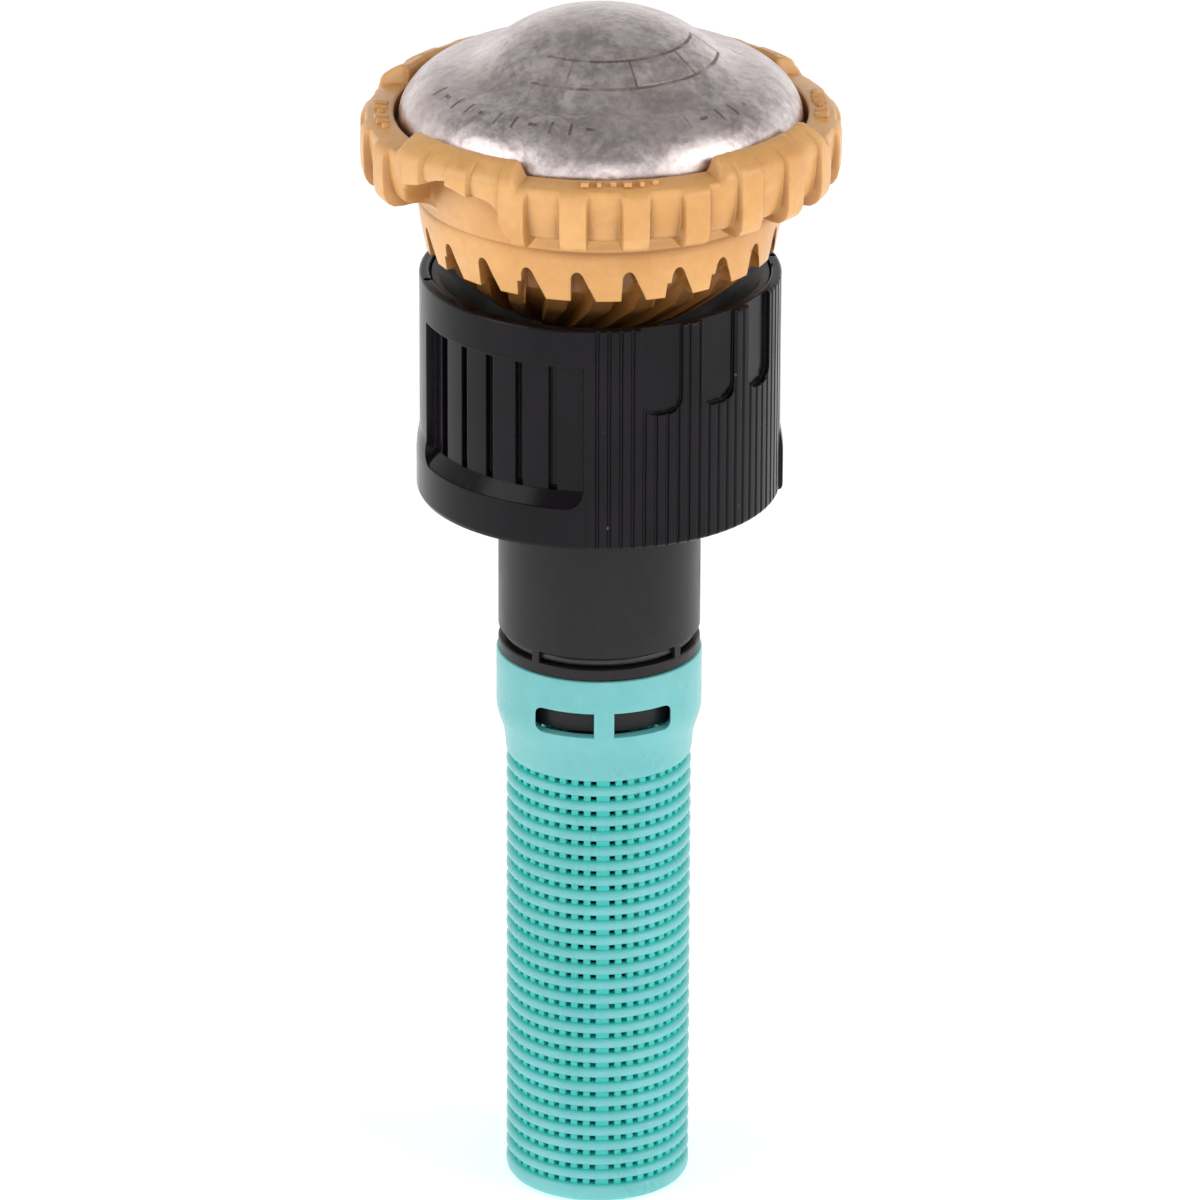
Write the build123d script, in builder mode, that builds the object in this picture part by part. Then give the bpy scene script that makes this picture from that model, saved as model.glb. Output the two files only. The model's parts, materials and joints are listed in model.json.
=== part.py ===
from build123d import *
from math import cos, radians, sin
import os

# Rotary stream nozzle with a push-on filter screen, for the riser of a pop-up sprinkler.
# Millimetres. +Z is up, the origin is on the nozzle's axis in the plane of the radius
# collar's lower edge. A heading is an angle about the axis, 0 toward -Y, positive toward +X.

os.makedirs("parts", exist_ok=True)

# ---- radius collar ----
COLLAR_R = 12.6            # outside, above the lower band
BAND_R = 12.83             # outside of the lower band in the two window zones
COLLAR_TOP = 16.2
RIM_BORE_R = 11.85         # bore round the cover's flange
COLLAR_BORE_R = 10.5       # bore round the threaded skirt
COLLAR_WEB = (9.7, 10.7)   # web that joins the collar to its inner sleeve
SLEEVE_R = 5.8
SLEEVE_BORE_R = 4.9
SLEEVE_BOTTOM = -6.6
THROAT_BORE_R = 5.35       # upper bore of the inner sleeve
SPLINES = 6
SPLINE_W = 1.2
ZONE_HEADINGS = (-49.6, 130.4)   # middle of each window zone
ZONE_ARC = 90.0
WINDOW_ARC = 68.0
WINDOW_MID = 10.6          # the window is nearer to the zone's edge on its right
GRIP_HEADINGS = (20.0, 41.0, 61.5, 200.0, 221.0, 241.5)
GRIP_W = 3.0
GRIP_BOTTOM = 9.8
REEDS_PER_TURN = 96
REED_W = 0.3
REED_DEPTH = 0.14

# ---- base, inlet tube and riser thread ----
TUBE_R = 7.11
TUBE_BORE_R = 5.9
SKIRT_R = 10.4
THREAD_MINOR_R = 8.25
THREAD_MAJOR_R = 8.7
THREAD_PITCH = 0.907
THREAD_BOTTOM = 0.3
THREAD_TOP = 8.0
BASE_TOP = 9.6
ROOT_R = 7.5               # boss at the tube's root, inside the gasket
ROOT_BOTTOM = 7.0
GROOVE = (-11.2, -10.4)    # seal groove near the tube's lower end
GROOVE_FLOOR_R = 6.1
FLANGE_BOTTOM = -12.1
SPIGOT_R = 6.35
SPIGOT_BORE_R = 5.3
SPIGOT_BOTTOM = -16.2
SEAT = (-8.2, -7.0)        # throttle seat
SEAT_BORE_R = 3.6
BEAD_Z = -13.4             # snap bead between spigot and screen

# ---- centre post, throttle and shaft ----
POST_R = 2.45
POST_BOTTOM = -37.5
POST_TOP = 8.6
SPRING_SHOULDER = -14.0
SPRING_BORE_R = 1.85
SHAFT_R = 1.0
SHAFT_BORE_R = 1.05
THROTTLE_LEAD = 3.6        # one turn of the collar moves the throttle nut this far
THROTTLE_START = -8.2      # lower end of the post's grooves
THROTTLE_RUN = 7.4
NUT = (-5.4, -3.4)
NUT_DISC_R = 4.0

# ---- arc valve ----
VALVE_TOOTH_ROOT = 11.3
ROTOR_TOOTH_ROOT = 13.4
TOOTH_H = 0.9
FACE_TEETH = 24
VALVE_R = 4.2
VALVE_BORE_R = 3.5
THROAT_R = 5.25
THROAT_INNER_R = 4.8

# ---- deflector and cap ----
RING_R = 16.35             # ring between its grip ribs
RIB_R = 16.68
RIB_COUNT = 24
RIB_ARC = 7.0
RIB_HEADING = -21.6
SKIRT_TIP = 18.2
OUTLETS = 22
OUTLET_HEADING = -5.5
RAISED_HEADING = -39.5     # first of the four raised sectors
CUTAWAY_HEADING = -41.0    # ring cut away from below here, and again on the far side
CHAMBER_R = 10.2
CHAMBER_FLOOR = 18.5
CAP_SEAT = 26.2
CAP_R = 14.0
CAP_GAP_R = 14.3
CAP_APEX = 34.8
CAP_WALL = 0.55

# ---- filter screen ----
RIM_R = 7.25
SCREEN_TOP = -12.1
SCREEN_BOTTOM = -52.73
SCREEN_BORE_R = 5.75
CREST_R = 6.55
FLOOR_R = 6.16
FIRST_GROOVE = -20.25
GROOVES = 28
GROOVE_PITCH = 1.146
HOLE_W = 0.42
COLUMNS = 21               # columns of holes on each half
COLUMN_PITCH = 8.37
SEAM_HEADING = 3.0         # solid strip between the halves


def turned(heading):
    """Polar angle of a heading."""
    return heading - 90.0


def facing(heading, r, z=0.0):
    """A plane across the radius at a heading: X along the circle, Y up, Z outward."""
    a = radians(turned(heading))
    return Plane(
        origin=(r * cos(a), r * sin(a), z),
        x_dir=(-sin(a), cos(a), 0),
        z_dir=(cos(a), sin(a), 0),
    )


def near(sketch, *points):
    """The sketch vertices nearest to the given points."""
    return [sketch.vertices().sort_by_distance(Vector(x, y, 0))[0] for x, y in points]


# ======== radius collar ========

with BuildPart() as window_cutter:
    with BuildSketch(Plane.XZ):
        with BuildLine():
            Polyline(
                (11.45, 4.15), (11.45, 13.45), (14.0, 13.5), (14.0, 3.1), (12.75, 3.1), (11.95, 4.15),
                close=True,
            )
        make_face()
    revolve(axis=Axis.Z, revolution_arc=WINDOW_ARC)
    corners = window_cutter.edges().filter_by(
        lambda e: abs(e.center().Z - 3.1) < 0.05 and e.geom_type == GeomType.LINE
    )
    fillet(corners, radius=1.3)

with BuildPart() as radius_collar:
    with BuildSketch(Plane.XZ) as collar_profile:
        with BuildLine():
            Polyline(
                (SLEEVE_BORE_R, SLEEVE_BOTTOM), (SLEEVE_R, SLEEVE_BOTTOM), (SLEEVE_R, COLLAR_WEB[0]),
                (COLLAR_BORE_R, COLLAR_WEB[0]), (COLLAR_BORE_R, 0), (COLLAR_R, 0),
                (COLLAR_R, COLLAR_TOP), (RIM_BORE_R, COLLAR_TOP), (RIM_BORE_R, 13.6),
                (10.6, 13.6), (10.6, COLLAR_WEB[1]), (THROAT_BORE_R, COLLAR_WEB[1]),
                (THROAT_BORE_R, 6.3), (SLEEVE_BORE_R, 6.3),
                close=True,
            )
        make_face()
        fillet(near(collar_profile, (COLLAR_R, 0)), radius=0.35)
        fillet(near(collar_profile, (COLLAR_R, COLLAR_TOP)), radius=0.25)
        fillet(near(collar_profile, (RIM_BORE_R, COLLAR_TOP)), radius=0.2)
    revolve(axis=Axis.Z)
    # lower band of the two window zones, blended into the wall above
    for heading in ZONE_HEADINGS:
        with BuildSketch(Plane.XZ.rotated((0, 0, turned(heading - ZONE_ARC / 2)))):
            with BuildLine():
                Polyline(
                    (12.2, 0.3), (BAND_R - 0.35, 0), (BAND_R - 0.1, 0.1), (BAND_R, 0.35),
                    (BAND_R, 3.0), (BAND_R - 0.06, 3.7), (COLLAR_R + 0.03, 4.5),
                    (COLLAR_R - 0.02, 4.9), (12.2, 4.9),
                    close=True,
                )
            make_face()
        revolve(axis=Axis.Z, revolution_arc=ZONE_ARC)
    # windows, each with wide ribs on its floor
    for heading in ZONE_HEADINGS:
        start = turned(heading + WINDOW_MID - WINDOW_ARC / 2)
        add(Rotation(0, 0, start) * window_cutter.part, mode=Mode.SUBTRACT)
        for k in range(6):
            with BuildSketch(Plane.XZ.rotated((0, 0, start + 12.0 * k - 1.2))):
                with BuildLine():
                    Polyline((11.2, 4.15), (11.93, 4.15), (11.93, 13.46), (11.2, 13.46), close=True)
                make_face()
            revolve(axis=Axis.Z, revolution_arc=9.0 if k else 7.6)
    # fine reeding between the window zones
    reed_headings = [
        heading + ZONE_ARC / 2 + k * 360.0 / REEDS_PER_TURN for heading in ZONE_HEADINGS for k in range(1, 24)
    ]
    with BuildSketch(*[facing(heading, COLLAR_R - REED_DEPTH) for heading in reed_headings]):
        with Locations((0, COLLAR_TOP / 2)):
            Rectangle(REED_W / 2, COLLAR_TOP + 2)
    extrude(amount=1.0, taper=-30, mode=Mode.SUBTRACT)
    # finger recesses, open at the rim
    for heading in GRIP_HEADINGS:
        with BuildSketch(facing(heading, COLLAR_R - 0.45)) as grip:
            with Locations((0, (GRIP_BOTTOM + 18.0) / 2)):
                Rectangle(GRIP_W, 18.0 - GRIP_BOTTOM)
            fillet(near(grip, (-GRIP_W / 2, GRIP_BOTTOM), (GRIP_W / 2, GRIP_BOTTOM)), radius=1.1)
        extrude(amount=2.0, mode=Mode.SUBTRACT)
    # index hole in the rim
    for heading in (-78.0, 102.0):
        a = radians(turned(heading))
        with BuildSketch(Plane.XY.offset(COLLAR_TOP + 0.1)):
            with Locations((12.2 * cos(a), 12.2 * sin(a))):
                Circle(0.28)
        extrude(amount=-1.2, mode=Mode.SUBTRACT)
    # spline grooves in the inner sleeve
    with BuildSketch(Plane.XY.offset(SLEEVE_BOTTOM - 0.1)):
        with PolarLocations(SLEEVE_BORE_R, SPLINES):
            Rectangle(2 * (THROAT_BORE_R - SLEEVE_BORE_R), SPLINE_W)
    extrude(amount=6.3 - SLEEVE_BOTTOM + 0.2, mode=Mode.SUBTRACT)

radius_collar.part.label = "radius_collar"
export_step(radius_collar.part, "parts/radius_collar.step")

# ======== base with riser thread and inlet tube ========

with BuildPart() as riser_thread:
    with BuildLine() as thread_path:
        Helix(pitch=THREAD_PITCH, height=6.9, radius=THREAD_MINOR_R, center=(0, 0, THREAD_BOTTOM - 0.6))
    with BuildSketch(
        Plane(origin=thread_path.line @ 0, x_dir=(1, 0, 0), z_dir=thread_path.line % 0)
    ):
        with BuildLine():
            Polyline(
                (-0.15, -0.42), (-0.15, 0.42), (THREAD_MAJOR_R - THREAD_MINOR_R, 0.06),
                (THREAD_MAJOR_R - THREAD_MINOR_R, -0.06),
                close=True,
            )
        make_face()
    sweep(path=thread_path.line, is_frenet=True)

with BuildPart() as nozzle_base:
    with BuildSketch(Plane.XZ) as base_profile:
        with BuildLine():
            Polyline(
                (TUBE_BORE_R, BASE_TOP), (SKIRT_R, BASE_TOP), (SKIRT_R, THREAD_BOTTOM),
                (THREAD_MAJOR_R, THREAD_BOTTOM), (THREAD_MINOR_R, THREAD_BOTTOM + 0.45),
                (THREAD_MINOR_R, THREAD_TOP), (ROOT_R, THREAD_TOP), (ROOT_R, ROOT_BOTTOM),
                (TUBE_R, ROOT_BOTTOM), (TUBE_R, GROOVE[1]),
                (GROOVE_FLOOR_R, GROOVE[1]), (GROOVE_FLOOR_R, GROOVE[0]), (TUBE_R, GROOVE[0]),
                (TUBE_R, FLANGE_BOTTOM), (SPIGOT_R, FLANGE_BOTTOM), (SPIGOT_R, BEAD_Z + 0.3),
                (SPIGOT_R + 0.18, BEAD_Z), (SPIGOT_R, BEAD_Z - 0.5), (SPIGOT_R, SPIGOT_BOTTOM),
                (SPIGOT_BORE_R, SPIGOT_BOTTOM), (SPIGOT_BORE_R, SEAT[0]), (SEAT_BORE_R, SEAT[0]),
                (SEAT_BORE_R, SEAT[1]), (TUBE_BORE_R, SEAT[1]),
                close=True,
            )
        make_face()
        fillet(near(base_profile, (TUBE_R, GROOVE[1])), radius=0.12)
        fillet(near(base_profile, (TUBE_R, GROOVE[0]), (TUBE_R, FLANGE_BOTTOM)), radius=0.15)
    revolve(axis=Axis.Z)
    # groove for the collar's lower seal
    with BuildSketch(Plane.XY.offset(BASE_TOP)):
        Circle(8.05)
        Circle(6.95, mode=Mode.SUBTRACT)
    extrude(amount=-0.9, mode=Mode.SUBTRACT)
    # bars across the seal groove
    for heading in (-39.0, 51.0, 141.0, 231.0):
        with BuildSketch(facing(heading, GROOVE_FLOOR_R + 0.68)):
            with Locations((0, sum(GROOVE) / 2)):
                Rectangle(0.6, GROOVE[1] - GROOVE[0] + 0.3)
        extrude(amount=0.3)
    # spider that holds the centre post
    with BuildSketch(Plane.XY.offset(-13.5)):
        Circle(POST_R + 0.75)
        with PolarLocations(4.0, 3, start_angle=90):
            Rectangle(3.4, 1.1)
        Circle(POST_R, mode=Mode.SUBTRACT)
    extrude(amount=2.6)
    add(riser_thread.part, mode=Mode.SUBTRACT)

nozzle_base.part.label = "nozzle_base"
export_step(nozzle_base.part, "parts/nozzle_base.step")

# ======== centre post ========

with BuildPart() as throttle_groove:
    with BuildLine() as groove_path:
        Helix(pitch=THROTTLE_LEAD, height=THROTTLE_RUN, radius=POST_R, center=(0, 0, THROTTLE_START))
    with BuildSketch(
        Plane(origin=groove_path.line @ 0, x_dir=(1, 0, 0), z_dir=groove_path.line % 0)
    ):
        Rectangle(1.0, 0.9)
    sweep(path=groove_path.line, is_frenet=True)

with BuildPart() as hub_post:
    with BuildSketch(Plane.XZ):
        with BuildLine():
            Polyline(
                (SPRING_BORE_R, POST_BOTTOM), (POST_R, POST_BOTTOM), (POST_R, POST_TOP),
                (SHAFT_BORE_R, POST_TOP), (SHAFT_BORE_R, SPRING_SHOULDER),
                (SPRING_BORE_R, SPRING_SHOULDER),
                close=True,
            )
        make_face()
    revolve(axis=Axis.Z)
    with PolarLocations(0, 2):
        add(throttle_groove.part, mode=Mode.SUBTRACT)

hub_post.part.label = "hub_post"
export_step(hub_post.part, "parts/hub_post.step")

# ======== throttle nut, splined to the collar and screwed on the post ========

with BuildPart() as throttle_lug:
    with BuildLine() as lug_path:
        Helix(
            pitch=THROTTLE_LEAD, height=0.4, radius=POST_R, center=(0, 0, THROTTLE_START + THROTTLE_LEAD)
        )
    with BuildSketch(Plane(origin=lug_path.line @ 0, x_dir=(1, 0, 0), z_dir=lug_path.line % 0)):
        Rectangle(0.8, 0.74)
    sweep(path=lug_path.line, is_frenet=True)

with BuildPart() as throttle_nut:
    with BuildSketch(Plane.XY.offset(NUT[0])):
        Circle(NUT_DISC_R)
        with PolarLocations(4.4, SPLINES):
            Rectangle(1.8, SPLINE_W - 0.1)
        Circle(POST_R + 0.06, mode=Mode.SUBTRACT)
    extrude(amount=NUT[1] - NUT[0])
    with PolarLocations(0, 2):
        add(throttle_lug.part)

throttle_nut.part.label = "throttle_nut"
export_step(throttle_nut.part, "parts/throttle_nut.step")

# ======== valve seat: spider with a helical ramp ========

with BuildPart() as seat_ramp:
    with BuildLine() as ramp_path:
        Helix(pitch=1.6, height=1.5, radius=2.93, center=(0, 0, 7.9))
    with BuildSketch(Plane(origin=ramp_path.line @ 0, x_dir=(1, 0, 0), z_dir=ramp_path.line % 0)):
        Rectangle(0.8, 1.5)
    sweep(path=ramp_path.line, is_frenet=True)

with BuildPart() as valve_seat:
    with BuildSketch(Plane.XY.offset(6.4)):
        Circle(THROAT_INNER_R)
        Circle(VALVE_R, mode=Mode.SUBTRACT)
    extrude(amount=2.8)
    with BuildSketch(Plane.XY.offset(6.4)):
        Circle(3.4)
        with PolarLocations(3.8, 3, start_angle=30):
            Rectangle(1.6, 0.9)
        Circle(POST_R, mode=Mode.SUBTRACT)
    extrude(amount=1.2)
    with BuildSketch(Plane.XY.offset(7.6)):
        Circle(3.4)
        Circle(POST_R, mode=Mode.SUBTRACT)
    extrude(amount=0.4)
    add(seat_ramp.part)

valve_seat.part.label = "valve_seat"
export_step(valve_seat.part, "parts/valve_seat.step")

# ======== valve sleeve: helical skirt below, face teeth above ========

with BuildPart() as sleeve_ramp:
    with BuildLine() as skirt_path:
        Helix(pitch=1.6, height=1.5, radius=3.84, center=(0, 0, 8.65))
    with BuildSketch(Plane(origin=skirt_path.line @ 0, x_dir=(1, 0, 0), z_dir=skirt_path.line % 0)):
        Rectangle(0.56, 1.6)
    sweep(path=skirt_path.line, is_frenet=True)

with BuildPart() as valve_sleeve:
    with BuildSketch(Plane.XZ):
        with BuildLine():
            Polyline(
                (VALVE_BORE_R, 9.9), (4.7, 9.9), (4.7, 10.7), (VALVE_R, 10.7),
                (VALVE_R, VALVE_TOOTH_ROOT + TOOTH_H), (VALVE_BORE_R, VALVE_TOOTH_ROOT + TOOTH_H),
                close=True,
            )
        make_face()
    revolve(axis=Axis.Z)
    with BuildSketch(
        *[facing(k * 360.0 / FACE_TEETH, 3.0, VALVE_TOOTH_ROOT) for k in range(FACE_TEETH)]
    ):
        with BuildLine():
            Polyline((0, 0), (TOOTH_H / 2, TOOTH_H), (0, TOOTH_H + 1), (-TOOTH_H / 2, TOOTH_H), close=True)
        make_face()
    extrude(amount=2.0, mode=Mode.SUBTRACT)
    add(Rotation(0, 0, 120) * sleeve_ramp.part)

valve_sleeve.part.label = "valve_sleeve"
export_step(valve_sleeve.part, "parts/valve_sleeve.step")

# ======== cover: funnel under the deflector ========

with BuildPart() as nozzle_cover:
    with BuildSketch(Plane.XZ) as cover_profile:
        with BuildLine():
            Polyline(
                (THROAT_INNER_R, 6.4), (THROAT_R, 6.4), (THROAT_R, 10.8), (10.5, 10.8),
                (10.5, 13.65), (11.75, 13.65), (11.75, 15.95), (11.3, 15.95), (8.0, 13.0),
                (5.2, 11.35), (4.3, 11.35), (4.3, 10.8), (THROAT_INNER_R, 10.8),
                close=True,
            )
        make_face()
        fillet(near(cover_profile, (8.0, 13.0)), radius=4.0)
    revolve(axis=Axis.Z)
    with BuildSketch(Plane.XY.offset(10.8)):
        Circle(9.05)
        Circle(7.95, mode=Mode.SUBTRACT)
    extrude(amount=0.9, mode=Mode.SUBTRACT)

nozzle_cover.part.label = "nozzle_cover"
export_step(nozzle_cover.part, "parts/nozzle_cover.step")

# ======== round seals: name, ring radius, height, wire radius ========

SEALS = (
    ("collar_lower_seal", 7.5, 9.19, 0.48),
    ("collar_upper_seal", 8.5, 11.21, 0.48),
    ("valve_seal", 4.49, 9.5, 0.29),
    ("inlet_seal", 6.43, -10.8, 0.33),
)
for seal_name, ring_r, seal_z, wire_r in SEALS:
    with BuildPart() as seal:
        with BuildSketch(Plane.XZ):
            with Locations((ring_r, seal_z)):
                Circle(wire_r)
        revolve(axis=Axis.Z)
    seal.part.label = seal_name
    export_step(seal.part, f"parts/{seal_name}.step")

# ======== plain turned pieces: name, profile of radius and height ========

TURNED = (
    ("riser_gasket", ((7.55, 7.2), (8.15, 7.2), (8.15, 8.0), (7.55, 8.0))),
    ("shaft", (
        (0, -34.9), (0.8, -34.9), (SHAFT_R, -34.7), (SHAFT_R, 24.0), (0.8, 24.2), (0, 24.2),
    )),
    ("spring_washer", ((SHAFT_R, -34.1), (1.7, -34.1), (1.7, -33.6), (SHAFT_R, -33.6))),
    ("lower_clip", ((SHAFT_R, -34.5), (1.55, -34.5), (1.55, -34.1), (SHAFT_R, -34.1))),
    ("thrust_washer", ((SHAFT_R, 11.6), (2.2, 11.6), (2.2, 12.1), (SHAFT_R, 12.1))),
    ("lip_seal", (
        (SHAFT_BORE_R, 17.2), (2.2, 17.2), (2.2, 18.5), (1.6, 18.5), (1.45, 17.7),
        (1.3, 17.6), (SHAFT_BORE_R, 18.0),
    )),
    ("brake_disk", (
        (1.3, 18.5), (CHAMBER_R - 0.03, 18.5), (CHAMBER_R - 0.03, 19.9), (1.3, 19.9),
    )),
    ("brake_plate", (
        (SHAFT_R, 20.0), (2.6, 20.0), (2.6, 20.3), (3.4, 20.3), (3.4, 20.0), (9.9, 20.0),
        (9.9, 21.4), (SHAFT_R, 21.4),
    )),
    ("brake_cover", (
        (1.2, 21.5), (CHAMBER_R - 0.03, 21.5), (CHAMBER_R - 0.03, 22.9), (9.6, 22.9),
        (9.6, 22.5), (2.6, 22.5), (2.6, 22.9), (1.2, 22.9),
    )),
    ("shaft_clip", ((SHAFT_R, 23.2), (1.8, 23.2), (1.8, 23.7), (SHAFT_R, 23.7))),
    ("retainer_ring", ((8.6, 22.9), (CHAMBER_R, 22.9), (CHAMBER_R, 24.4), (8.6, 24.4))),
)
for piece_name, outline in TURNED:
    with BuildPart() as piece:
        with BuildSketch(Plane.XZ):
            with BuildLine():
                Polyline(*outline, close=True)
            make_face()
        revolve(axis=Axis.Z)
    piece.part.label = piece_name
    export_step(piece.part, f"parts/{piece_name}.step")

# ======== springs: name, coil radius, wire radius, lower and upper end, pitch ========

SPRINGS = (
    ("return_spring", 1.5, 0.2, -33.34, -14.22, 1.2),
    ("lift_spring", 1.6, 0.17, 8.78, 11.38, 0.65),
)
for spring_name, coil_r, wire_r, low, high, pitch in SPRINGS:
    with BuildPart() as spring:
        with BuildLine() as coil:
            Helix(pitch=pitch, height=high - low, radius=coil_r, center=(0, 0, low))
        with BuildSketch(Plane(origin=coil.line @ 0, x_dir=(1, 0, 0), z_dir=coil.line % 0)):
            Circle(wire_r)
        sweep(path=coil.line, is_frenet=True)
    spring.part.label = spring_name
    export_step(spring.part, f"parts/{spring_name}.step")

# ======== deflector ========

# ribbed rim of the ring, with its lower edge cut away on two sides
with BuildPart() as grip_ring:
    with BuildSketch(Plane.XZ) as rim_profile:
        with BuildLine():
            Polyline(
                (12.6, 22.4), (12.95, 22.6), (13.4, 23.25), (14.6, 23.65), (15.9, 23.75),
                (RING_R - 0.1, 24.0), (RING_R, 24.4), (RING_R, 26.6), (13.0, 26.0),
                close=True,
            )
        make_face()
    revolve(axis=Axis.Z)
    for k in range(RIB_COUNT):
        start = turned(RIB_HEADING + k * 360.0 / RIB_COUNT - RIB_ARC / 2)
        with BuildSketch(Plane.XZ.rotated((0, 0, start))):
            with BuildLine():
                Polyline(
                    (14.2, 24.4), (14.6, 23.5), (15.6, 23.25), (16.25, 23.5), (16.58, 24.05),
                    (RIB_R, 24.9), (RIB_R, 26.9), (RIB_R - 0.08, 27.3), (RIB_R - 0.3, 27.52),
                    (15.4, 27.6),
                    close=True,
                )
            make_face()
        revolve(axis=Axis.Z, revolution_arc=RIB_ARC)
    for heading in (CUTAWAY_HEADING, CUTAWAY_HEADING + 180.0):
        with BuildSketch(facing(heading, 11.0)):
            with BuildLine() as edge:
                Spline(
                    (-4.9, 24.6), (-3.9, 25.7), (-1.1, 26.75), (0.9, 26.6), (3.3, 25.95), (4.4, 24.9),
                    (5.4, 23.0),
                )
                Polyline((5.4, 23.0), (5.4, 21.0), (-5.2, 21.0), (-5.2, 23.0), (-4.9, 24.6))
            make_face()
        extrude(amount=8.0, mode=Mode.SUBTRACT)

# one raised sector of the ring's top edge, with sloping ends
with BuildPart() as raised_sector:
    with BuildSketch(Plane.XZ):
        with BuildLine():
            Polyline(
                (14.34, 26.9), (14.34, 28.55), (14.5, 28.85), (14.9, 28.95), (15.3, 28.75),
                (16.15, 28.05), (16.3, 27.75), (16.3, 26.9),
                close=True,
            )
        make_face()
    revolve(axis=Axis.Z)
    with BuildSketch(facing(RAISED_HEADING, 12.0)):
        with BuildLine():
            Polyline(
                (-5.5, 26.0), (5.5, 26.0), (5.05, 27.9), (4.3, 29.5), (-4.3, 29.5), (-5.05, 27.9),
                close=True,
            )
        make_face()
    extrude(amount=6.0, mode=Mode.INTERSECT)

# one spiral channel between vanes on the underside
with BuildPart() as vane_channel:
    with BuildSketch(Plane.XY.offset(10.0)):
        with BuildLine():
            channel_left = Spline(
                *[
                    (r * cos(radians(-90 + swirl)), r * sin(radians(-90 + swirl)))
                    for r, swirl in ((4.6, -38.0), (7.0, -22.0), (9.5, -11.0), (11.6, -4.2))
                ]
            )
            channel_right = Spline(
                *[
                    (r * cos(radians(-90 + swirl)), r * sin(radians(-90 + swirl)))
                    for r, swirl in ((11.6, 4.0), (9.5, -1.6), (7.0, -12.0), (4.6, -29.5))
                ]
            )
            Line(channel_left @ 1, channel_right @ 0)
            Line(channel_right @ 1, channel_left @ 0)
        make_face()
    extrude(amount=12.0)
    with BuildSketch(Plane.XZ):
        with BuildLine():
            Polyline(
                (3.0, 10.5), (3.0, 12.9), (4.6, 13.0), (8.0, 15.9), (12.2, 19.7), (12.2, 10.5),
                close=True,
            )
        make_face()
    revolve(axis=Axis.Z, mode=Mode.INTERSECT)

with BuildPart() as deflector:
    with BuildSketch(Plane.XZ) as body_profile:
        with BuildLine():
            Polyline(
                (SHAFT_BORE_R, 12.6), (3.2, 12.6), (3.2, ROTOR_TOOTH_ROOT), (4.35, ROTOR_TOOTH_ROOT),
                (4.35, 12.8), (8.0, 14.75), (12.0, SKIRT_TIP), (12.15, SKIRT_TIP), (12.5, 20.0),
                (12.75, 21.82), (12.68, 21.88), (12.68, 21.98), (12.83, 22.04), (12.95, 22.6),
                (13.3, 23.4), (13.9, 24.5), (14.8, 25.6), (15.6, 26.05), (RING_R, 26.2), (RING_R, 27.35),
                (RING_R - 0.25, 27.6), (CAP_GAP_R, 27.88), (CAP_GAP_R, CAP_SEAT), (CHAMBER_R, CAP_SEAT),
                (CHAMBER_R, CHAMBER_FLOOR), (2.2, CHAMBER_FLOOR), (2.2, 17.2), (SHAFT_BORE_R, 17.2),
                close=True,
            )
        make_face()
    revolve(axis=Axis.Z)
    add(grip_ring.part)
    with PolarLocations(0, 4):
        add(raised_sector.part)
    # raised scale marks on the low sectors of the ring
    for sector in range(4):
        for mark in range(6):
            heading = 90.0 * sector - 4.0 + 3.6 * mark
            with BuildSketch(facing(heading, 14.75)):
                with Locations((0, 27.75)):
                    Rectangle(0.4 if mark % 5 else 0.8, 0.6)
            extrude(amount=1.0)
    # small lugs on the skirt
    for heading in (-90.0, 90.0):
        with BuildSketch(facing(heading, 12.0)):
            with Locations((0, 20.6)):
                Rectangle(1.6, 2.2)
        extrude(amount=1.05)
    # face teeth that take the valve sleeve round while the deflector is pressed down
    with BuildSketch(Plane.XY.offset(ROTOR_TOOTH_ROOT - TOOTH_H)):
        Circle(4.35)
        Circle(3.2, mode=Mode.SUBTRACT)
    extrude(amount=TOOTH_H + 0.1)
    with BuildSketch(
        *[facing((k + 0.5) * 360.0 / FACE_TEETH, 3.0, ROTOR_TOOTH_ROOT) for k in range(FACE_TEETH)]
    ):
        with BuildLine():
            Polyline(
                (0, 0), (TOOTH_H / 2, -TOOTH_H), (0, -TOOTH_H - 0.5), (-TOOTH_H / 2, -TOOTH_H), close=True
            )
        make_face()
    extrude(amount=1.5, mode=Mode.SUBTRACT)
    # outlets through the skirt, some with a stepped edge, and the channels that feed them
    for k in range(OUTLETS):
        heading = OUTLET_HEADING + k * 360.0 / OUTLETS
        left = -1.2 if k % 11 in (2, 3, 6, 8, 10) else -0.85
        with BuildSketch(facing(heading, 10.9)):
            with BuildLine():
                Polyline(
                    (left, 16.5), (left, 19.35), (-0.8, 19.35), (-0.75, 20.1), (-0.6, 20.38),
                    (-0.2, 20.42), (0.0, 20.2), (0.8, 18.3), (1.15, 17.8), (1.15, 16.5),
                    close=True,
                )
            make_face()
        extrude(amount=3.0, mode=Mode.SUBTRACT)
    with PolarLocations(0, OUTLETS, start_angle=OUTLET_HEADING):
        add(vane_channel.part, mode=Mode.SUBTRACT)

deflector.part.label = "deflector"
export_step(deflector.part, "parts/deflector.step")

# ======== top cap ========

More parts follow.
